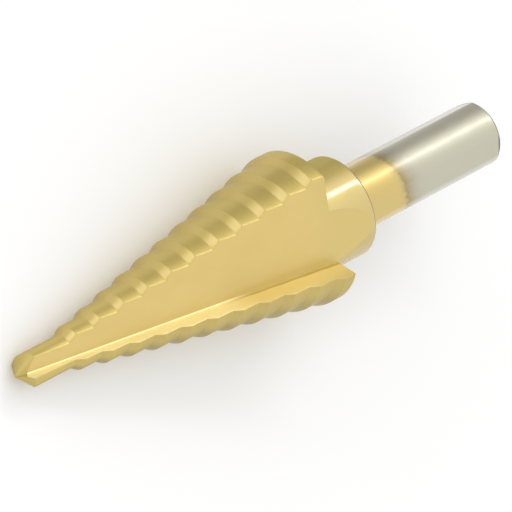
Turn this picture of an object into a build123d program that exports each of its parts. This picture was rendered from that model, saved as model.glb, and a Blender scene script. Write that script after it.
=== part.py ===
from build123d import *
from math import acos, asin, atan, cos, radians, sin, tan
import os

# Step drill: a stepped cone with two straight flutes, a collar and a shank with three flats.
# It is shaped along X from the tip at 0, and laid on its side at the end.
# Angles round the axis are counted from +Y towards +Z.

inch = 25.4

# Steps
step_count = 12
pilot_size = 3 / 16 * inch
size_rise = 1 / 16 * inch
pilot_length = 8.42
step_pitch = 4.0
shoulder_length = 1.2
shoulder_crown_radius = 15.0
last_step_length = 3.16

# Collar and shank
collar_radius = 7.45
collar_length = 7.2
collar_rim_round = 0.35
shank_size = 3 / 8 * inch
overall_length = 86.0
shank_chamfer = 0.45
chamfer_crown_radius = 4.0
flat_depth = 0.3
flat_count = 3
flat_first_angle = 40.0

# Flutes: a wide floor facing floor_angle and a cutting wall that stands on it
floor_angle = 31.5
floor_height_at_tip = 0.828
floor_slope = 0.1074
floor_run_past_cone = 1.0
run_out_radius = 40.0
wall_angle = 44.6
wall_offset_at_tip = -0.476
wall_slope = 0.0525
corner_round = 0.3

# Point: each flank is a tilted cone, and the lips reach the centre along a leaning split
point_angle = 118.0
lip_angle = 33.7
split_lean = 10.0
relief_tilt = 11.3
relief_turn = 20.2
flank_crown_radius = 400.0

pilot_radius = pilot_size / 2
radius_rise = size_rise / 2
shank_radius = shank_size / 2
largest_radius = pilot_radius + (step_count - 1) * radius_rise
last_shoulder_start = pilot_length + (step_count - 2) * step_pitch
cone_end = last_shoulder_start + last_step_length
collar_end = cone_end + collar_length
beyond = 2.0

# Turned blank
with BuildPart() as drill:
    with BuildSketch(Plane.XY) as half_profile:
        with BuildLine() as outline:
            at = (0, 0)
            radius = pilot_radius
            shoulder = pilot_length
            Line(at, (0, radius))
            at = (0, radius)
            for step in range(1, step_count):
                Line(at, (shoulder, radius))
                rim = (shoulder + shoulder_length, radius + radius_rise)
                RadiusArc((shoulder, radius), rim, shoulder_crown_radius)
                at = rim
                radius = radius + radius_rise
                shoulder = shoulder + step_pitch
            Polyline(
                at,
                (cone_end, largest_radius),
                (cone_end, collar_radius),
                (collar_end, collar_radius),
                (collar_end, shank_radius),
                (overall_length - shank_chamfer, shank_radius),
            )
            chamfer_start = (overall_length - shank_chamfer, shank_radius)
            chamfer_end = (overall_length, shank_radius - shank_chamfer)
            RadiusArc(chamfer_start, chamfer_end, chamfer_crown_radius)
            Polyline(chamfer_end, (overall_length, 0), (0, 0))
        make_face()
    revolve(axis=Axis.X)
    rims = drill.edges().filter_by(GeomType.CIRCLE)
    rims = rims.filter_by(lambda e: e.radius > (shank_radius + collar_radius) / 2)
    fillet(rims.sort_by(Axis.X)[-1], radius=collar_rim_round)

# One flute as a solid: the floor runs straight past the cone and then rises out of the collar
floor_up = Vector(0, cos(radians(floor_angle)), sin(radians(floor_angle)))
floor_along = Vector(1, 0, 0)
flute_plane = Plane(origin=(0, 0, 0), x_dir=floor_along, z_dir=floor_along.cross(floor_up))
floor_end = cone_end + floor_run_past_cone
floor_end_height = floor_height_at_tip + floor_slope * floor_end
floor_tilt = atan(floor_slope)
arc_centre_x = floor_end - run_out_radius * sin(floor_tilt)
arc_centre_y = floor_end_height + run_out_radius * cos(floor_tilt)
flute_top = largest_radius + beyond
arc_end_x = arc_centre_x + (run_out_radius ** 2 - (arc_centre_y - flute_top) ** 2) ** 0.5
wall_up = Vector(0, -sin(radians(wall_angle)), cos(radians(wall_angle)))
wall_along = Vector(1, 0, 0) + wall_up * wall_slope
wall_across = Vector(0, cos(radians(wall_angle)), sin(radians(wall_angle)))
wall_plane = Plane(
    origin=wall_up * wall_offset_at_tip,
    x_dir=wall_along,
    z_dir=wall_along.cross(wall_across),
)
with BuildPart() as flute:
    with BuildSketch(flute_plane):
        with BuildLine():
            front = (-beyond, floor_height_at_tip - floor_slope * beyond)
            Line(front, (floor_end, floor_end_height))
            RadiusArc((floor_end, floor_end_height), (arc_end_x, flute_top), -run_out_radius)
            Line((arc_end_x, flute_top), (-beyond, flute_top))
            Line((-beyond, flute_top), front)
        make_face()
    extrude(amount=flute_top, both=True)
    split(bisect_by=wall_plane, keep=Keep.BOTTOM)
    wall_face = flute.faces().sort_by(lambda f: (f.normal_at() - wall_plane.z_dir).length)[0]
    floor_face = flute.faces().sort_by(lambda f: (f.normal_at() + floor_up).length)[0]
    arc_face = flute.faces().filter_by(GeomType.CYLINDER)[0]
    corner = (wall_face.edges() & floor_face.edges()) + (wall_face.edges() & arc_face.edges())
    fillet(corner, radius=corner_round)

# One flank of the point, a tilted cone kept on its own side of the lips
half_point = radians(point_angle / 2)
cone_turn = radians(lip_angle - relief_turn)
tilt = radians(relief_tilt)
cone_half = acos(
    cos(half_point) * cos(tilt) + sin(half_point) * sin(tilt) * cos(radians(relief_turn))
)
cone_axis = Vector(cos(tilt), sin(tilt) * cos(cone_turn), sin(tilt) * sin(cone_turn))
cone_height = 2.5 * pilot_radius
lean = radians(split_lean)
lip_along = Vector(0, cos(radians(lip_angle)), sin(radians(lip_angle)))
lip_behind = Vector(0, -sin(radians(lip_angle)), cos(radians(lip_angle)))
split_up = Vector(sin(lean), 0, 0) + lip_behind * cos(lean)
split_plane = Plane(origin=(0, 0, 0), x_dir=lip_along, z_dir=split_up)
with BuildPart() as flank:
    with BuildSketch(Plane(origin=(0, 0, 0), x_dir=cone_axis, z_dir=lip_behind.cross(cone_axis))):
        with BuildLine():
            flank_rim = (cone_height, cone_height * tan(cone_half))
            Line((0, 0), (cone_height, 0))
            Line((cone_height, 0), flank_rim)
            RadiusArc((0, 0), flank_rim, flank_crown_radius)
        make_face()
    revolve(axis=Axis((0, 0, 0), cone_axis))
    split(bisect_by=split_plane, keep=Keep.TOP)

# Everything in front of the two flanks
with BuildPart() as point_waste:
    with BuildSketch(Plane(origin=(-beyond, 0, 0), z_dir=(1, 0, 0))):
        Circle(pilot_size)
    extrude(amount=beyond + 1.5 * pilot_radius)
    add(flank.part, mode=Mode.SUBTRACT)
    add(flank.part, rotation=(180, 0, 0), mode=Mode.SUBTRACT)

with BuildPart() as cut_drill:
    add(drill.part)
    add(flute.part, mode=Mode.SUBTRACT)
    add(flute.part, rotation=(180, 0, 0), mode=Mode.SUBTRACT)
    add(point_waste.part, mode=Mode.SUBTRACT)
    for turn in range(flat_count):
        flat_angle = radians(flat_first_angle + turn * 360 / flat_count)
        flat_up = Vector(0, cos(flat_angle), sin(flat_angle))
        flat_at = flat_up * (shank_radius - flat_depth) + Vector(collar_end, 0, 0)
        with BuildSketch(Plane(origin=flat_at, x_dir=(1, 0, 0), z_dir=flat_up)):
            Rectangle(
                overall_length - collar_end + beyond,
                shank_size,
                align=(Align.MIN, Align.CENTER),
            )
        extrude(amount=beyond, mode=Mode.SUBTRACT)

# At rest one flute faces down: both its edges at the front rim of the largest step touch the
# surface, and so does the outer corner of its lip
rim_x = last_shoulder_start + shoulder_length
heel_height = floor_height_at_tip + floor_slope * rim_x
heel_turn = radians(floor_angle) - acos(heel_height / largest_radius)
edge_height = wall_offset_at_tip + wall_slope * rim_x
edge_turn = radians(wall_angle) + asin(edge_height / largest_radius)
lip_x = pilot_radius / tan(half_point)
lip_turn = radians(wall_angle) + asin((wall_offset_at_tip + wall_slope * lip_x) / pilot_radius)
heel_touch = Vector(rim_x, -largest_radius * cos(heel_turn), -largest_radius * sin(heel_turn))
edge_touch = Vector(rim_x, -largest_radius * cos(edge_turn), -largest_radius * sin(edge_turn))
lip_touch = Vector(lip_x, -pilot_radius * cos(lip_turn), -pilot_radius * sin(lip_turn))
rest_up = (heel_touch - lip_touch).cross(edge_touch - lip_touch).normalized()
rest_along = Vector(1, 0, 0) - rest_up * rest_up.X
rest_plane = Plane(origin=lip_touch, x_dir=rest_along, z_dir=rest_up)

# The same solid laid on the surface, with its base in the middle of the frame
laid = rest_plane.to_local_coords(cut_drill.part)
reach = laid.bounding_box()
middle = reach.center()
with BuildPart() as step_drill:
    add(laid.moved(Location((-middle.X, -middle.Y, -reach.min.Z))))

os.makedirs("parts", exist_ok=True)
step_drill.part.label = "step_drill"
export_step(step_drill.part, "parts/step_drill.step")
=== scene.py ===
from math import acos, asin, atan, atan2, cos, degrees, pi, radians, sin, sqrt, tan

import bmesh
import bpy
from mathutils import Matrix, Vector


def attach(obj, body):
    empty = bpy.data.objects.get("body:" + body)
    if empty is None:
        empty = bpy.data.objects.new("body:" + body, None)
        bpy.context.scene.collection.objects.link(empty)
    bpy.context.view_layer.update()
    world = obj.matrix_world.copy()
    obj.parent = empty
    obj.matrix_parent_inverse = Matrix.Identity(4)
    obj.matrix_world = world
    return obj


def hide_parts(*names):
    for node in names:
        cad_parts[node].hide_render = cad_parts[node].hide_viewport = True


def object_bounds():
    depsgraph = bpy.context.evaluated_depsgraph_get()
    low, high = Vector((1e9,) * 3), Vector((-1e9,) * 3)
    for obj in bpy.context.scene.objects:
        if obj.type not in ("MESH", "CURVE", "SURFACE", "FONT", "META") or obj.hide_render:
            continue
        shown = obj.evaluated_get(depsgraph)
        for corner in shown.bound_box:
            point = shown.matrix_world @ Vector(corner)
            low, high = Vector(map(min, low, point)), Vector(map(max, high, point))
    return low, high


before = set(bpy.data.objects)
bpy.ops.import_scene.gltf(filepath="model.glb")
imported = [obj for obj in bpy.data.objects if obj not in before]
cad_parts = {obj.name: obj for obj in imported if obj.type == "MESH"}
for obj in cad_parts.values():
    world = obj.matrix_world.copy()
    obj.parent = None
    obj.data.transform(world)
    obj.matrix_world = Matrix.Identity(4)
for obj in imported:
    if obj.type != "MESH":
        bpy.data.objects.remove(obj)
lowBefore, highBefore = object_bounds()
print("frame loaded", lowBefore, highBefore)

mm = 0.001
inch = 25.4

# Lengths below are in millimetres, measured from the tip along the drill's own axis.
# Across the axis a point is (w, s); turns are counted in degrees from w towards s.

cone = {
    "steps": 12,
    "pilotRadius": inch * 3 / 32,
    "rise": inch / 32,
    "firstShoulder": 8.42,
    "pitch": 4.0,
    "shoulder": 1.2,
    "lastStep": 3.16,
    "rimRound": 0.15,               # worn edge at the top of each shoulder
    "rootRound": 0.10,
    "backRound": 0.08,              # behind the largest step
    "backMiddle": 0.023,            # how far the middle of that round lies inside its corner
    "pilotRows": (3.6, 4.4, 5.4, 6.4, 7.4),
}
collar = {"radius": 7.45, "length": 7.2, "rim": 0.35, "rows": 16, "rimRows": 6}
flute = {
    "floorTurn": 31.5,
    "floorAtTip": 0.828,
    "floorSlope": 0.1074,
    "floorPastCone": 1.0,
    "runOut": 40.0,
    "wallTurn": 44.6,
    "wallAtTip": -0.476,
    "wallSlope": 0.0525,
    "corner": 0.15,
    "cuttingEdge": 0.03,
    "heelEdge": 0.04,
}

largest = cone["pilotRadius"] + (cone["steps"] - 1) * cone["rise"]
lastShoulder = cone["firstShoulder"] + (cone["steps"] - 2) * cone["pitch"]
rear = lastShoulder + cone["lastStep"]
collarEnd = rear + collar["length"]


def turned(angle, length=1.0):
    a = radians(angle)
    return Vector((cos(a), sin(a))) * length


def turnOf(p):
    return degrees(atan2(p.y, p.x))


def mix(a, b, t):
    return a + (b - a) * t


def bend(a, b, c, t):               # a soft corner from a to c, with b as its sharp corner
    return a * (1 - t) ** 2 + b * 2 * t * (1 - t) + c * t * t


def halve(low, high, tooLow):       # the value at which tooLow stops being true
    for _ in range(50):
        middle = (low + high) / 2
        if tooLow(middle):
            low = middle
        else:
            high = middle
    return (low + high) / 2


floorOut = turned(flute["floorTurn"])
floorAcross = turned(flute["floorTurn"] + 90)
wallOut = turned(flute["wallTurn"] + 90)
wallAcross = turned(flute["wallTurn"])


def floorAt(x):                     # height of the flute's floor above the axis
    straight = rear + flute["floorPastCone"]
    if x <= straight:
        return flute["floorAtTip"] + flute["floorSlope"] * x
    lean = atan(flute["floorSlope"])
    r = flute["runOut"]
    top = flute["floorAtTip"] + flute["floorSlope"] * straight
    along = x - (straight - r * sin(lean))
    return top + r * cos(lean) - sqrt(r * r - along * along)


def wallAt(x):
    return flute["wallAtTip"] + flute["wallSlope"] * x


def floorReaches(height):           # where the floor gets to this height
    return halve(0.0, collarEnd + 2, lambda x: floorAt(x) < height)


# Point: every flank and split is a cone or plane through the tip, so x = r * lift(turn)
point = {
    "halfAngle": 59.0,
    "lipTurn": 33.7,
    "splitLean": 10.0,
    "reliefTilt": 11.3,             # each flank is a cone tilted by this much
    "reliefTurn": 20.2,             # and turned back from its lip by this much
    "heelStart": 3.3,               # the heels start no further back than this
    "frontRows": (0.0, 0.02, 0.05, 0.12, 0.25, 0.4, 0.6, 0.8),      # from the front edge backwards
    "flankRows": (1.0, 0.75, 0.5, 0.25, 0.08),                      # from the front edge to the tip
    "firstTry": 1.5,                # the front edge is found by trying
    "tries": 60,
    "tryShare": 0.6,
}
tilt = radians(point["reliefTilt"])
coneHalf = acos(
    cos(radians(point["halfAngle"])) * cos(tilt)
    + sin(radians(point["halfAngle"])) * sin(tilt) * cos(radians(point["reliefTurn"]))
)


def flankLift(turn):
    a = cos(tilt)
    b = sin(tilt) * cos(radians(turn - (point["lipTurn"] - point["reliefTurn"])))
    psi = atan2(b, a) + acos(cos(coneHalf) / sqrt(a * a + b * b))
    return 1 / tan(psi)


def splitLift(turn):
    return -sin(radians(turn - point["lipTurn"])) / tan(radians(point["splitLean"]))


def lift(turn):
    one = max(flankLift(turn), splitLift(turn))
    other = max(flankLift(turn - 180), splitLift(turn - 180))
    return min(one, other)


# Corner between floor and wall
openAngle = acos(max(-1, min(1, (-floorAcross).dot(wallAcross))))
cornerBack = flute["corner"] / tan(openAngle / 2)
cornerMiddle = (wallAcross - floorAcross).normalized() * (flute["corner"] / sin(openAngle / 2))


def cornerPoint(x):                 # the sharp corner, and how far across the floor it lies
    h, g = floorAt(x), wallAt(x)
    across = (g - h * floorOut.dot(wallOut)) / floorAcross.dot(wallOut)
    return floorOut * h + floorAcross * across, across


def cornerArc(x, share):
    at, _ = cornerPoint(x)
    middle = at + cornerMiddle
    start = at - floorAcross * cornerBack - middle
    finish = at + wallAcross * cornerBack - middle
    swing = acos(max(-1, min(1, start.normalized().dot(finish.normalized()))))
    side = 1 if start.x * finish.y - start.y * finish.x > 0 else -1
    a = share * swing * side
    swung = (start.x * cos(a) - start.y * sin(a), start.x * sin(a) + start.y * cos(a))
    return middle + Vector(swung)


# Up to this share the corner's round lies inside the collar
meet = halve(0.0, 1.0, lambda share: cornerArc(rear, share).length < collar["radius"])
nearly = 1e-6                       # shares closer than this are the same
rearChord = sqrt(collar["radius"] ** 2 - floorAt(rear) ** 2)
rearRadius = largest - cone["backRound"]
rearHeel = sqrt(rearRadius ** 2 - floorAt(rear) ** 2)
heelShare = (rearHeel - rearChord) / (rearHeel + cornerPoint(rear)[1] - cornerBack)

# Each column is (kind, share); the list runs over half a turn, from one heel to the next
counts = {"heelFloor": 5, "floor": 14, "wall": 6, "land": 56}
columns = []
for kind in ("heelFloor", "floor"):
    columns += [(kind, i / counts[kind]) for i in range(counts[kind])]
columns += [("corner", share) for share in (0.0, meet * 0.5, meet, meet + (1 - meet) * 0.5, 1.0)]
columns += [("wall", i / counts["wall"]) for i in range(1, counts["wall"] + 1)]
columns.append(("cutEdge", 0.5))
columns += [("land", i / counts["land"]) for i in range(counts["land"] + 1)]
columns.append(("heelEdge", 0.5))


def section(x, radius, kind, share):        # a column's point where the cone has this radius
    h, g = floorAt(x), wallAt(x)
    heelAcross = -sqrt(max(0.0, radius * radius - h * h))
    heel = floorOut * h + floorAcross * heelAcross
    heelEdge, cuttingEdge = flute["heelEdge"], flute["cuttingEdge"]
    if kind in ("heelFloor", "floor"):
        first = heelAcross + heelEdge
        last = cornerPoint(x)[1] - cornerBack
        knee = mix(heelAcross, last, heelShare)
        across = mix(first, knee, share) if kind == "heelFloor" else mix(knee, last, share)
        return floorOut * h + floorAcross * across
    if kind == "corner":
        return cornerArc(x, share)
    edgeOut = sqrt(radius * radius - g * g)
    edge = wallOut * g + wallAcross * edgeOut
    startTurn = turnOf(edge) + degrees(cuttingEdge / radius)
    endTurn = turnOf(heel) + 180 - degrees(heelEdge / radius)
    wallEnd = wallOut * g + wallAcross * (edgeOut - cuttingEdge)
    if kind == "wall":
        return mix(cornerArc(x, 1.0), wallEnd, share)
    if kind == "cutEdge":
        return bend(wallEnd, edge, turned(startTurn, radius), share)
    if kind == "land":
        return turned(mix(startTurn, endTurn, share), radius)
    nextFloor = -(floorOut * h + floorAcross * (heelAcross + heelEdge))
    return bend(turned(endTurn, radius), -heel, nextFloor, share)


shoulderRows = []                   # first and last row of each shoulder


def stations():                     # (distance from the tip, radius) of every row on the cone
    r, x = cone["pilotRadius"], cone["firstShoulder"]
    rise, run, back = cone["rise"], cone["shoulder"], cone["backRound"]
    rootRound, rimRound = cone["rootRound"], cone["rimRound"]
    slope = Vector((run, rise)).normalized()
    rows = [(at, r) for at in cone["pilotRows"]]
    for step in range(1, cone["steps"]):
        root, rim = Vector((x, r)), Vector((x + run, r + rise))
        for t in (0, 0.5, 1):
            at = bend(root - Vector((rootRound, 0)), root, root + slope * rootRound, t)
            rows.append(tuple(at))
        shoulderRows.append(len(rows) - 2)
        rows += [tuple(mix(root, rim, t)) for t in (0.33, 0.67)]
        for t in (0, 0.33, 0.67, 1):
            rows.append(tuple(bend(rim - slope * rimRound, rim, rim + Vector((rimRound, 0)), t)))
        shoulderRows.append(len(rows) - 2)
        r += rise
        lastOne = step == cone["steps"] - 1
        flatStart = x + run + rimRound
        flatEnd = rear - back if lastOne else x + cone["pitch"] - rootRound
        rows += [(mix(flatStart, flatEnd, t), r) for t in (0.25, 0.5, 0.75)]
        x += cone["pitch"]
    rows.append((rear - back, r))
    rows.append((rear - cone["backMiddle"], r - cone["backMiddle"]))
    rows.append((rear, r - back))
    return rows


def frontPoint(kind, share):        # where a column of the pilot meets the point
    x = point["firstTry"]
    for _ in range(point["tries"]):
        p = section(x, cone["pilotRadius"], kind, share)
        x = mix(x, p.length * lift(turnOf(p)), point["tryShare"])
    return Vector((x, p.x, p.y))


vertices, faces, finishes = [], [], []


def addPoint(x, w, s):
    vertices.append((x, w, s))
    return len(vertices) - 1


def addFace(corners, finish):
    faces.append(corners)
    finishes.append(finish)


def addGrid(rows, finish):          # rows of equally many points; finish may be a list by column
    for a, b in zip(rows, rows[1:]):
        for i in range(len(a) - 1):
            own = finish[i] if isinstance(finish, list) else finish
            addFace((a[i], a[i + 1], b[i + 1], b[i]), own)


def addFan(row, centre, finish):
    for a, b in zip(row, row[1:]):
        addFace((a, b, centre), finish)


def halfTurns(build):
    for sign in (1, -1):
        build(sign)


rowList = stations()


def buildCone(sign):
    closing = columns + [("heelFloor", 0.0)]        # the other flute's heel closes the half
    sides = [sign] * len(columns) + [-sign]
    heads = []
    for (kind, share), side in zip(closing, sides):
        p = frontPoint(kind, share)
        if kind in ("heelFloor", "heelEdge"):
            p.x = min(p.x, point["heelStart"])
        heads.append((p.x, p.y * side, p.z * side))
    firstX, firstRadius = rowList[0]
    grid = []
    for level in point["frontRows"]:
        row = []
        for (kind, share), side, head in zip(closing, sides, heads):
            x = mix(head[0], firstX, level)
            p = section(x, firstRadius, kind, share)
            row.append(addPoint(x, p.x * side, p.y * side) if level else addPoint(*head))
        grid.append(row)
    for x, r in rowList:
        row = []
        for (kind, share), side in zip(closing, sides):
            p = section(x, r, kind, share)
            row.append(addPoint(x, p.x * side, p.y * side))
        grid.append(row)
    named = ("land", "corner", "wall")
    finish = [kind if kind in named else "ground" for kind, share in columns]
    onShoulder = ["shoulder" if name == "land" else name for name in finish]
    lead = len(grid) - len(rowList)
    cuts = [0] + [lead + row for row in shoulderRows] + [len(grid) - 1]
    for i in range(len(cuts) - 1):
        addGrid(grid[cuts[i]:cuts[i + 1] + 1], onShoulder if i % 2 else finish)
    flank = []
    for level in point["flankRows"]:
        flank.append([addPoint(x * level, w * level, s * level) for x, w, s in heads])
    addGrid(flank, "point")
    addFan(flank[-1], addPoint(0, 0, 0), "point")


halfTurns(buildCone)
print("cone and point", len(vertices), len(faces))

# Rear faces of the two lands, and the collar with the ends of the flute floors
kneeTurn = turnOf(floorOut * floorAt(rear) - floorAcross * rearChord)
meetTurn = turnOf(cornerArc(rear, meet))
collarRing = []                     # (turn, where it starts) round the whole collar


def ringPoint(turn, x=rear, radius=collar["radius"]):
    p = turned(turn, radius)
    return addPoint(x, p.x, p.y)


def buildRearFace(sign):
    outer = [cornerArc(rear, meet)]
    for kind, share in columns:
        pastMeet = kind == "corner" and share > meet + nearly
        if pastMeet or kind in ("wall", "cutEdge", "land", "heelEdge"):
            outer.append(section(rear, rearRadius, kind, share))
    for i in range(counts["heelFloor"]):
        outer.append(-section(rear, rearRadius, "heelFloor", i / counts["heelFloor"]))
    outer.append(-section(rear, rearRadius, "floor", 0.0))
    opposite = 0 if sign > 0 else 180
    landRow, collarRow = [], []
    inner = meetTurn
    for p in outer:
        turn = turnOf(p)
        if turn < meetTurn - 30:    # the turns go on past 180
            turn += 360
        inner = min(max(turn, inner), kneeTurn + 180)
        landRow.append(addPoint(rear, p.x * sign, p.y * sign))
        collarRow.append(ringPoint(inner + opposite))
        collarRing.append((inner + opposite, rear))
    addGrid([collarRow, landRow], "turned")


def buildRunOut(sign):              # the floor comes out through the collar's round side
    rows = collar["rows"]
    grid = [[] for _ in range(rows)]
    for kind, share in columns:
        if kind != "floor" and (kind != "corner" or share > meet + nearly):
            continue
        p = section(rear, rearRadius, kind, share)
        across, out = p.dot(floorAcross), p.dot(floorOut)
        top = sqrt(max(0.0, collar["radius"] ** 2 - across * across))
        atMeet = kind == "corner" and share > meet - nearly
        stop = rear if atMeet else floorReaches(floorAt(rear) + top - out)
        for i in range(rows):
            x = mix(rear, stop, i / (rows - 1))
            height = out + floorAt(x) - floorAt(rear) if stop > rear else out
            q = floorOut * height + floorAcross * across
            grid[i].append(addPoint(x, q.x * sign, q.y * sign))
        edge = floorOut * top + floorAcross * across
        collarRing.append((turnOf(edge) + (0 if sign > 0 else 180), stop))
    addGrid(grid, "ground")


halfTurns(buildRearFace)
halfTurns(buildRunOut)

ringStarts = {}
for turn, first in collarRing:
    key = round((turn % 360) * 1000) / 1000 % 360       # to a thousandth of a degree
    ringStarts[key] = max(first, ringStarts.get(key, 0.0))
ring = sorted(ringStarts.items())
rim = collar["rim"]
collarGrid = []
for i in range(collar["rows"] + 1):
    share = i / collar["rows"]
    row = [ringPoint(turn, mix(first, collarEnd - rim, share)) for turn, first in ring]
    collarGrid.append(row + row[:1])
for i in range(1, collar["rimRows"] + 1):
    a = radians(90 * i / collar["rimRows"])
    x, radius = collarEnd - rim + rim * sin(a), collar["radius"] - rim + rim * cos(a)
    row = [ringPoint(turn, x, radius) for turn, _ in ring]
    collarGrid.append(row + row[:1])
addGrid(collarGrid, "turned")

# Shank with its three ground flats
shank = {
    "radius": inch * 3 / 16,
    "end": 86.0,
    "flatDepth": 0.3,
    "flats": (40.0, 160.0, 280.0),
    "flatEdge": 0.03,
    "flatColumns": 8,
    "roundColumns": 16,
    "rows": 25,
    "chamfer": 0.45,
    "chamferRows": (                # distance behind the chamfer's start, and inwards
        (0.02, 0.006), (0.05, 0.03), (0.25, 0.22), (0.42, 0.4), (0.448, 0.44), (0.45, 0.47),
    ),
    "beforeChamfer": 0.04,
    "endRings": (3.6, 2.4, 1.2, 0.4),
}
flatHalf = acos((shank["radius"] - shank["flatDepth"]) / shank["radius"])
edgeHalf = shank["flatEdge"] / shank["radius"]
shankColumns = []                   # (turn, turn of the flat there or None)
for middle in shank["flats"]:
    for i in range(shank["flatColumns"] + 1):
        share = 2 * i / shank["flatColumns"] - 1
        shankColumns.append((middle + degrees(flatHalf - edgeHalf) * share, middle))
    first = middle + degrees(flatHalf + edgeHalf)
    last = middle + 360 / len(shank["flats"]) - degrees(flatHalf + edgeHalf)
    for i in range(shank["roundColumns"] + 1):
        shankColumns.append((mix(first, last, i / shank["roundColumns"]), None))
shankColumns.sort(key=lambda column: column[0])
shankFinish = []
for here, after in zip(shankColumns, shankColumns[1:] + shankColumns[:1]):
    shankFinish.append("flat" if here[1] and after[1] else "shank")


def shankRing(x, radius):
    row = []
    for turn, middle in shankColumns:
        r = radius
        if middle is not None:
            r = min(radius, (shank["radius"] - shank["flatDepth"]) / cos(radians(turn - middle)))
        row.append(ringPoint(turn, x, r))
    return row + row[:1]


chamferStart = shank["end"] - shank["chamfer"]
shankGrid = []
for i in range(shank["rows"]):
    x = mix(collarEnd, chamferStart - shank["beforeChamfer"], i / (shank["rows"] - 1))
    shankGrid.append(shankRing(x, shank["radius"]))
addGrid(shankGrid, shankFinish)
chamferGrid = [shankGrid[-1]]
for behind, inwards in shank["chamferRows"]:
    chamferGrid.append(shankRing(chamferStart + behind, shank["radius"] - inwards))
addGrid(chamferGrid, "chamfer")
endGrid = [chamferGrid[-1]]
for r in shank["endRings"]:
    row = [ringPoint(turn, shank["end"], r) for turn, _ in shankColumns]
    endGrid.append(row + row[:1])
addGrid(endGrid, "end")
addFan(endGrid[-1], addPoint(shank["end"], 0, 0), "end")


# Back of the collar, between its rim and the shank
def turnAt(index):
    _, w, s = vertices[index]
    return degrees(atan2(s, w)) % 360


def turnAfter(row, i):
    return turnAt(row[i + 1]) if i + 1 < len(row) else turnAt(row[0]) + 360


outerRow = sorted(collarGrid[-1][:-1], key=turnAt)
innerRow = sorted(shankGrid[0][:-1], key=turnAt)
i = j = 0
while i < len(outerRow) or j < len(innerRow):
    a, b = outerRow[i % len(outerRow)], innerRow[j % len(innerRow)]
    outerNext = j >= len(innerRow)
    if i < len(outerRow) and turnAfter(outerRow, i) <= turnAfter(innerRow, j):
        outerNext = True
    if outerNext:
        i += 1
        addFace((a, outerRow[i % len(outerRow)], b), "turned")
    else:
        j += 1
        addFace((a, innerRow[j % len(innerRow)], b), "turned")
print("collar and shank", len(vertices), len(faces))


# The drill lies on the edges of one flute at the largest step and on the corner of one lip
def oppositePoint(x, radius, turn):
    return Vector((x, -radius * cos(turn), -radius * sin(turn)))


rimX = lastShoulder + cone["shoulder"]
lipX = cone["pilotRadius"] / tan(radians(point["halfAngle"]))
heelLow = radians(flute["floorTurn"]) - acos(floorAt(rimX) / largest)
edgeLow = radians(flute["wallTurn"]) + asin(wallAt(rimX) / largest)
lipLow = radians(flute["wallTurn"]) + asin(wallAt(lipX) / cone["pilotRadius"])
heelTouch = oppositePoint(rimX, largest, heelLow)
edgeTouch = oppositePoint(rimX, largest, edgeLow)
lipTouch = oppositePoint(lipX, cone["pilotRadius"], lipLow)
up = (heelTouch - lipTouch).cross(edgeTouch - lipTouch).normalized()
along = (Vector((1, 0, 0)) - up * up.x).normalized()
turnToRest = Matrix((along, up.cross(along), up))
laid = [turnToRest @ (Vector(v) - lipTouch) for v in vertices]
lowLaid = [min(p[i] for p in laid) for i in range(3)]
highLaid = [max(p[i] for p in laid) for i in range(3)]

# Its box is centred in the frame's box, with the tops level
shift = Vector((0, 0, highBefore[2] / mm - highLaid[2]))
for i in (0, 1):
    shift[i] = (lowBefore[i] + highBefore[i]) / 2 / mm - (lowLaid[i] + highLaid[i]) / 2

# In the order of the materials below
finishNames = ["turned", "land", "shoulder", "ground", "wall", "corner", "point"]
finishNames += ["shank", "flat", "chamfer", "end"]
surface = {
    "join": 0.000002,               # m, points closer than this become one
    "thin": 0.000001,
    "sharp": radians(28),           # edges stay sharp from this angle
    "evenWeight": 80,
}
mesh = bpy.data.meshes.new("stepDrill")
mesh.from_pydata([(p + shift) * mm for p in laid], [], faces)
mesh.polygons.foreach_set("material_index", [finishNames.index(name) for name in finishes])
place = mesh.attributes.new("drillPlace", "FLOAT_VECTOR", "POINT")
place.data.foreach_set("vector", [c for v in vertices for c in v])
work = bmesh.new()
work.from_mesh(mesh)
bmesh.ops.remove_doubles(work, verts=work.verts, dist=surface["join"])
bmesh.ops.dissolve_degenerate(work, edges=work.edges, dist=surface["thin"])
bmesh.ops.recalc_face_normals(work, faces=work.faces)
print("open edges", sum(not e.is_manifold for e in work.edges))
for f in work.faces:
    f.smooth = True
work.to_mesh(mesh)
work.free()
mesh.set_sharp_from_angle(angle=surface["sharp"])
drill = bpy.data.objects.new("stepDrill", mesh)
bpy.context.scene.collection.objects.link(drill)
weighted = drill.modifiers.new("evenNormals", "WEIGHTED_NORMAL")
weighted.keep_sharp = True
weighted.weight = surface["evenWeight"]
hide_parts("step_drill")
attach(drill, "root")
print("drill mesh", len(mesh.vertices), len(mesh.polygons))

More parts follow.
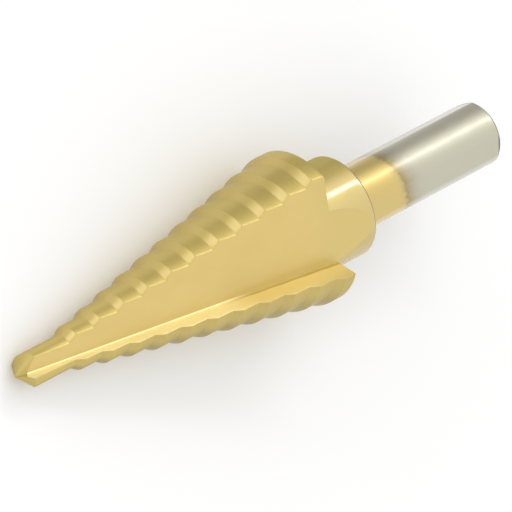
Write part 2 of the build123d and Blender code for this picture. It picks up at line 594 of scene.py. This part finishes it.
# Finishes: a thin gold coating over ground steel, worn off along the shank
coating = {                         # gloss: weight, ior, roughness; edge: tint at a low angle
    "collar": {
        "light": (0.66, 0.495, 0.095), "deep": (0.635, 0.47, 0.085),
        "rough": 0.54, "gloss": (1.0, 2.4, 0.155), "edge": (0.40, 0.37, 0.19),
    },
    "land": {
        "light": (0.68, 0.53, 0.155), "deep": (0.64, 0.495, 0.14),
        "rough": 0.46, "gloss": (0.45, 1.8, 0.2), "edge": (0.54, 0.49, 0.33),
    },
    "shoulder": {
        "light": (0.60, 0.455, 0.115), "deep": (0.56, 0.42, 0.10),
        "rough": 0.44, "gloss": (0.7, 1.9, 0.22), "edge": (0.58, 0.51, 0.31),
    },
    "floor": {
        "light": (0.72, 0.515, 0.10), "deep": (0.69, 0.485, 0.085),
        "rough": 0.46, "gloss": (1.0, 2.1, 0.3), "edge": (1.0, 1.0, 1.0),
    },
    "wall": {
        "light": (0.80, 0.67, 0.25), "deep": (0.78, 0.645, 0.235),
        "rough": 0.46, "gloss": (1.0, 2.1, 0.34), "edge": (1.0, 1.0, 1.0),
    },
    "corner": {
        "light": (0.55, 0.42, 0.11), "deep": (0.53, 0.405, 0.105),
        "rough": 0.46, "gloss": (0.5, 1.8, 0.4), "edge": (1.0, 1.0, 1.0),
    },
    "point": {
        "light": (0.56, 0.425, 0.11), "deep": (0.52, 0.40, 0.10),
        "rough": 0.46, "gloss": (0.7, 1.75, 0.3), "edge": (0.8, 0.72, 0.45),
    },
}
paintedUnderShade = {                       # painted shade: lands and shoulders darker low on the near side
    "land": (0.53, 0.41, 0.11),
    "shoulder": (0.42, 0.32, 0.075),
    "rise": (radians(62), radians(88)),
    "fall": (radians(150), radians(105)),
}
paintedFarShade = {                       # painted shade: the far side of the collar darker, with less coat
    "colour": (0.59, 0.475, 0.12),
    "gloss": 0.3,
    "span": (radians(-28), radians(-56)),
}
paintedRimShade = {                         # painted shade on the collar's rim where it meets the shank, mm from the collar's end
    "colour": (0.15, 0.08, 0.025),
    "rise": (-0.34, -0.20),
    "fall": (-0.001, -0.03),
}
dullRunOut = {"colour": (0.655, 0.485, 0.092), "span": (46.0, 53.0)}        # towards the collar
paintedWallHighlight = {"colour": (0.95, 0.87, 0.48), "span": (38.0, 31.0)}         # painted highlight: the wall lighter towards the tip
wornEdge = {                        # where the coating gives out on the shank
    "at": 66.95,                    # mm from the tip, on average
    "skew": 0.21,                   # it runs a little further on the side of s
    "wander": 0.42,
    "stops": (                      # mm behind the edge, colour there
        (-1.3, (0.67, 0.505, 0.155)),
        (-0.6, (0.60, 0.46, 0.17)),
        (0.0, (0.37, 0.29, 0.11)),
        (0.4, (0.42, 0.35, 0.18)),
        (1.3, (0.47, 0.42, 0.30)),
        (2.6, (0.52, 0.49, 0.38)),
        (4.6, (0.548, 0.525, 0.408)),
    ),
    "toBare": 2.5,                  # mm over which the last of it goes
}
steel = {
    "light": (0.555, 0.532, 0.415), "dull": (0.54, 0.518, 0.40),
    "rim": (0.22, 0.205, 0.18), "rimLight": (0.30, 0.28, 0.25),
    "rough": (0.40, 0.46), "rimRough": 0.45, "endRough": 0.42, "gloss": (1.0, 1.6, 0.2),
}
grain = {                           # marks per mm, along the drill and across it
    "turned": (7.0, 0.12),
    "ground": (0.12, 9.0),
    "point": (4.0, 9.0),
    "shank": (9.0, 0.12),
    "flat": (0.15, 9.0),
    "chamfer": (8.0, 0.2),
}
endGrain = 6.0                      # rings per mm outwards on the end face
depth = {"marks": 0.0000012, "chamfer": 0.0000015, "end": 0.000004, "uneven": 0.000007}     # m
clouds = {                          # per mm along and across, shift, detail, roughness
    "gold": (0.09, 0.16, 0.0, 3.0, 0.5),
    "goldRough": (0.3, 0.6, 0.0, 2.0, 0.5),
    "wornEdge": (0.8, 1.2, 3.0, 5.0, 0.65),
    "steel": (0.25, 0.4, 5.0, 2.0, 0.5),
    "steelRough": (0.5, 0.5, 0.0, 2.0, 0.5),
    "uneven": (0.5, 1.0, 9.0, 3.0, 0.5),
    "rim": (0.6, 0.6, 0.0, 2.0, 0.5),
}
driftSpan, cloudSpan = (0.35, 0.65), (0.3, 0.7)     # how much of a cloud's range is used
roughDrift = 0.03


class Nodes:                        # short ways to add nodes to a tree
    def __init__(self, tree):
        self.tree = tree

    def add(self, kind, ins=None, **settings):
        node = self.tree.nodes.new(kind)
        for key, value in settings.items():
            setattr(node, key, value)
        for key, value in (ins or {}).items():
            self.put(node.inputs[key], value)
        return node

    def put(self, socket, value):
        if isinstance(value, bpy.types.NodeSocket):
            self.tree.links.new(value, socket)
        else:
            socket.default_value = value

    def math(self, operation, a, b=0.0, c=0.0):
        return self.add("ShaderNodeMath", {0: a, 1: b, 2: c}, operation=operation).outputs[0]

    def spread(self, value, low, high, toLow=0.0, toHigh=1.0, smooth=False):
        ins = {"Value": value, "From Min": low, "From Max": high, "To Min": toLow, "To Max": toHigh}
        kind = "SMOOTHSTEP" if smooth else "LINEAR"
        return self.add("ShaderNodeMapRange", ins, interpolation_type=kind).outputs["Result"]


class Finish(Nodes):                # one finish of the drill, placed by its own coordinates
    def __init__(self, name):
        self.material = bpy.data.materials.new(name)
        self.material.use_nodes = True
        super().__init__(self.material.node_tree)
        self.shader = self.tree.nodes["Principled BSDF"]
        self.place = self.add("ShaderNodeAttribute", attribute_name="drillPlace").outputs["Vector"]
        parts = self.add("ShaderNodeSeparateXYZ", {0: self.place}).outputs
        self.x, self.w, self.s = parts[0], parts[1], parts[2]

    def turn(self):
        return self.math("ARCTAN2", self.s, self.w)

    def noise(self, vector, detail=2.0, rough=0.5):
        ins = {"Vector": vector, "Scale": 1.0, "Detail": detail, "Roughness": rough}
        return self.add("ShaderNodeTexNoise", ins).outputs["Fac"]

    def cloud(self, along, across, shift=0.0, detail=2.0, rough=0.5):
        node = self.add("ShaderNodeMapping", {"Vector": self.place})
        self.put(node.inputs["Location"], (shift, 0, shift))
        self.put(node.inputs["Scale"], (along, across, across))
        return self.noise(node.outputs["Vector"], detail, rough)

    def blend(self, share, a, b):
        node = self.add("ShaderNodeMix", data_type="RGBA")
        for index, value in ((0, share), (6, a), (7, b)):
            self.put(node.inputs[index], (*value, 1) if isinstance(value, tuple) else value)
        return node.outputs[2]

    def ramp(self, value, stops):
        node = self.add("ShaderNodeValToRGB", {0: value})
        points = node.color_ramp.elements
        while len(points) < len(stops):
            points.new(1.0)
        for ownPoint, (at, colour) in zip(points, stops):
            ownPoint.position = at
            ownPoint.color = (*colour, 1)
        return node.outputs[0]

    def bump(self, height, distance, normal=None):
        node = self.add("ShaderNodeBump", {"Height": height, "Distance": distance, "Strength": 1.0})
        if normal is not None:
            self.put(node.inputs["Normal"], normal)
        return node.outputs["Normal"]

    def gloss(self, weight, ior, rough):
        self.put(self.shader.inputs["Coat Weight"], weight)
        self.put(self.shader.inputs["Coat IOR"], ior)
        self.put(self.shader.inputs["Coat Roughness"], rough)

    def finish(self, colour, rough, normal):
        colour = (*colour, 1) if isinstance(colour, tuple) else colour
        self.put(self.shader.inputs["Base Color"], colour)
        self.put(self.shader.inputs["Metallic"], 1.0)
        self.put(self.shader.inputs["Roughness"], rough)
        self.put(self.shader.inputs["Normal"], normal)
        mesh.materials.append(self.material)


def coatedSteel(name, kind, marks):
    n = Finish(name)
    coat = coating[kind]
    drift = n.spread(n.cloud(*clouds["gold"]), *driftSpan)
    colour = n.blend(drift, coat["light"], coat["deep"])
    n.gloss(*coat["gloss"])
    n.put(n.shader.inputs["Specular Tint"], (*coat["edge"], 1))
    if kind == "collar":
        # painted shade: the collar's rim darkened where it meets the shank
        behind = n.math("SUBTRACT", n.x, collarEnd)
        rise, fall = n.spread(behind, *paintedRimShade["rise"]), n.spread(behind, *paintedRimShade["fall"])
        colour = n.blend(n.math("MULTIPLY", rise, fall), colour, paintedRimShade["colour"])
        # painted shade: the collar's far side darker, with less coat
        farShade = n.spread(n.turn(), *paintedFarShade["span"], smooth=True)
        colour = n.blend(farShade, colour, paintedFarShade["colour"])
        weight = n.spread(farShade, 0.0, 1.0, coat["gloss"][0], paintedFarShade["gloss"])
        n.put(n.shader.inputs["Coat Weight"], weight)
    if kind == "floor":
        nearCollar = n.spread(n.x, *dullRunOut["span"], smooth=True)
        colour = n.blend(nearCollar, colour, dullRunOut["colour"])
    if kind in ("wall", "corner"):
        # painted highlight: the wall and corner lighter towards the tip
        tipHighlight = n.spread(n.x, *paintedWallHighlight["span"], smooth=True)
        colour = n.blend(tipHighlight, colour, paintedWallHighlight["colour"])
    if kind in ("land", "shoulder"):
        # painted shade: lands and shoulders darker low on the near side
        turn = n.turn()
        rise = n.spread(turn, *paintedUnderShade["rise"], smooth=True)
        fall = n.spread(turn, *paintedUnderShade["fall"], smooth=True)
        colour = n.blend(n.math("MULTIPLY", rise, fall), colour, paintedUnderShade[kind])
    smoother, rougher = coat["rough"] - roughDrift, coat["rough"] + roughDrift
    rough = n.spread(n.cloud(*clouds["goldRough"]), *cloudSpan, smoother, rougher)
    n.finish(colour, rough, n.bump(n.cloud(*grain[marks]), depth["marks"]))


def fadingSteel(name, marks):       # gold near the collar, bare steel behind
    n = Finish(name)
    reach, stops = wornEdge["wander"], wornEdge["stops"]
    wander = n.spread(n.cloud(*clouds["wornEdge"]), *cloudSpan, -reach, reach)
    edge = n.math("MULTIPLY_ADD", n.s, wornEdge["skew"], wornEdge["at"])
    behind = n.math("ADD", n.math("SUBTRACT", n.x, edge), wander)
    first, last = stops[0][0], stops[-1][0]
    shares = [((at - first) / (last - first), colour) for at, colour in stops]
    worn = n.ramp(n.spread(behind, first, last), shares)
    bare = n.blend(n.cloud(*clouds["steel"]), steel["light"], steel["dull"])
    gone = n.spread(behind, last - wornEdge["toBare"], last, smooth=True)
    rough = n.spread(n.cloud(*clouds["steelRough"]), *cloudSpan, *steel["rough"])
    uneven = n.bump(n.cloud(*clouds["uneven"]), depth["uneven"])
    lines = n.bump(n.cloud(*grain[marks]), depth["marks"], uneven)
    n.gloss(*steel["gloss"])
    n.finish(n.blend(gone, worn, bare), rough, lines)


def dullRim():                      # turned chamfer at the end of the shank
    n = Finish("dullRim")
    rings = n.cloud(*grain["chamfer"])
    tone = n.blend(n.cloud(*clouds["rim"]), steel["rim"], steel["rimLight"])
    n.finish(tone, steel["rimRough"], n.bump(rings, depth["chamfer"]))


def facedEnd():                     # rings left by facing the end
    n = Finish("facedEnd")
    squares = n.math("ADD", n.math("MULTIPLY", n.w, n.w), n.math("MULTIPLY", n.s, n.s))
    out = n.math("MULTIPLY", n.math("SQRT", squares), endGrain)
    rings = n.noise(n.add("ShaderNodeCombineXYZ", {0: out}).outputs[0])
    n.finish(steel["dull"], steel["endRough"], n.bump(rings, depth["end"]))


coatedSteel("collarGold", "collar", "turned")
coatedSteel("landGold", "land", "turned")
coatedSteel("shoulderGold", "shoulder", "turned")
coatedSteel("fluteGold", "floor", "ground")
coatedSteel("wallGold", "wall", "ground")
coatedSteel("cornerGold", "corner", "ground")
coatedSteel("pointGold", "point", "point")
fadingSteel("fadingShank", "shank")
fadingSteel("fadingFlat", "flat")
dullRim()
facedEnd()
print("finishes", len(mesh.materials))

# Surface and sky: pale, and dimmer beyond the far side of the picture
studio = {
    "reach": 3,                     # metres of paper each way
    "paper": 0.935,
    "paperRough": 0.9,
    "paperShine": 0.1,
    "dim": 0.455,                   # paper and low sky on the far side
    "farSide": (0.343, 0.939, 0.0),
    "paperSpan": (0.0335, 0.052),   # metres towards the far side
    "skySpan": (-0.1, 0.4),         # cosines of the angle to the far side
    "skyTop": 1.02,
    "skyOpen": 0.92,                # low sky on the near side
    "skyHeights": (0.12, 0.50),     # sines of the heights where the low sky ends
}


def farSide(n, output, span, near, far):            # a value that changes towards the far side
    at = n.add("ShaderNodeTexCoord").outputs[output]
    ins = {0: at, 1: studio["farSide"]}
    reach = n.add("ShaderNodeVectorMath", ins, operation="DOT_PRODUCT").outputs["Value"]
    return n.spread(reach, *span, near, far, smooth=True)


far = studio["reach"]
sheetCorners = [(-far, -far, 0), (far, -far, 0), (far, far, 0), (-far, far, 0)]
floorMesh = bpy.data.meshes.new("floor")
floorMesh.from_pydata(sheetCorners, [], [(0, 1, 2, 3)])
floorObject = bpy.data.objects.new("floor", floorMesh)
bpy.context.scene.collection.objects.link(floorObject)
paper = bpy.data.materials.new("palePaper")
paper.use_nodes = True
sheet = Nodes(paper.node_tree)
paperShader = paper.node_tree.nodes["Principled BSDF"]
paperTone = farSide(sheet, "Object", studio["paperSpan"], studio["paper"], studio["dim"])
sheet.put(paperShader.inputs["Base Color"], paperTone)
sheet.put(paperShader.inputs["Roughness"], studio["paperRough"])
sheet.put(paperShader.inputs["Specular IOR Level"], studio["paperShine"])
floorMesh.materials.append(paper)

world = bpy.data.worlds.new("studio")
bpy.context.scene.world = world
world.use_nodes = True
sky = Nodes(world.node_tree)
direction = sky.add("ShaderNodeTexCoord").outputs["Generated"]
height = sky.add("ShaderNodeSeparateXYZ", {0: direction}).outputs["Z"]
lowSky = farSide(sky, "Generated", studio["skySpan"], studio["skyOpen"], studio["dim"])
skyTone = sky.spread(height, *studio["skyHeights"], lowSky, studio["skyTop"], smooth=True)
sky.put(world.node_tree.nodes["Background"].inputs["Color"], skyTone)

lamps = {                           # toward: where it stands, 1 m away; along: its long side
    "glareLamp": {
        "toward": (0.493, 0.566, 0.662), "along": (0.906, -0.224, 0.364),
        "size": (0.8, 0.12), "radiance": 4.4,
    },
    "heelLamp": {
        "toward": (-0.485, 0.84, 0.23), "along": (0.906, 0.40, 0.0),
        "size": (0.7, 0.34), "radiance": 1.7,
    },
}
for name, lamp in lamps.items():
    toward, alongLamp = Vector(lamp["toward"]).normalized(), Vector(lamp["along"])
    alongLamp = (alongLamp - toward * alongLamp.dot(toward)).normalized()
    lampData = bpy.data.lights.new(name, "AREA")
    lampData.shape = "RECTANGLE"
    lampData.size, lampData.size_y = lamp["size"]
    lampData.energy = lamp["radiance"] * pi * lampData.size * lampData.size_y
    lampObject = bpy.data.objects.new(name, lampData)
    bpy.context.scene.collection.objects.link(lampObject)
    turnLamp = Matrix((alongLamp, toward.cross(alongLamp), toward)).transposed().to_4x4()
    turnLamp.translation = toward
    lampObject.matrix_world = turnLamp
print("floor, sky and lamps", len(lamps))

# Camera, placed as the photograph shows the drill
view = {
    "at": (-425.4153, 140.4013, 469.5125),
    "right": (0.64670923, -0.31968044, 0.69251108),
    "up": (0.38152955, 0.9217618, 0.06921267),
    "imageWidth": 512,
    "focal": 4738.19,               # in widths of one pixel
    "sensor": 36,
    "clip": (0.05, 20),             # m
}
cameraData = bpy.data.cameras.new("camera")
cameraData.sensor_width = view["sensor"]
cameraData.lens = view["focal"] / view["imageWidth"] * view["sensor"]
cameraData.clip_start, cameraData.clip_end = view["clip"]
camera = bpy.data.objects.new("camera", cameraData)
bpy.context.scene.collection.objects.link(camera)
right, upward = Vector(view["right"]), Vector(view["up"])
placed = Matrix((right, upward, right.cross(upward))).transposed().to_4x4()
placed.translation = Vector(view["at"]) * mm
camera.matrix_world = placed
bpy.context.scene.camera = camera
bpy.context.scene.view_settings.view_transform = "Standard"
